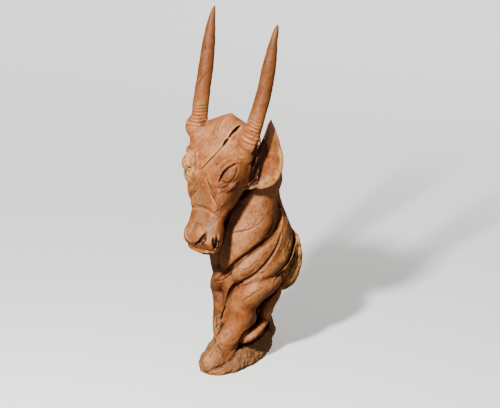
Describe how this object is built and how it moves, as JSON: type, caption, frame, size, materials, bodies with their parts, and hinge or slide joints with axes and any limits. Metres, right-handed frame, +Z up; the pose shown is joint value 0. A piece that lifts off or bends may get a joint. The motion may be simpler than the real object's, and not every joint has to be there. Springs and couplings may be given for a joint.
{
  "type": "antelope head sculpture",
  "caption": "Antelope head and arched neck with upright horns and cupped ears, carved from one piece of driftwood standing on its own rough root.",
  "frame": {"origin": "on the floor under the middle of the root, where the carving stands", "axes": "+Z up along the horns, -Y the way the face looks, +X the animal's left side"},
  "size_m": [0.3526, 0.4246, 1.1007],
  "materials": {
    "antelope_head_carving": "oiled red-brown heartwood, satin, with pale sapwood edges, open cracks and a rough grey-brown root"
  },
  "bodies": {
    "root": {"antelope_head_carving": "antelope_head_carving"}
  },
  "joints": []
}
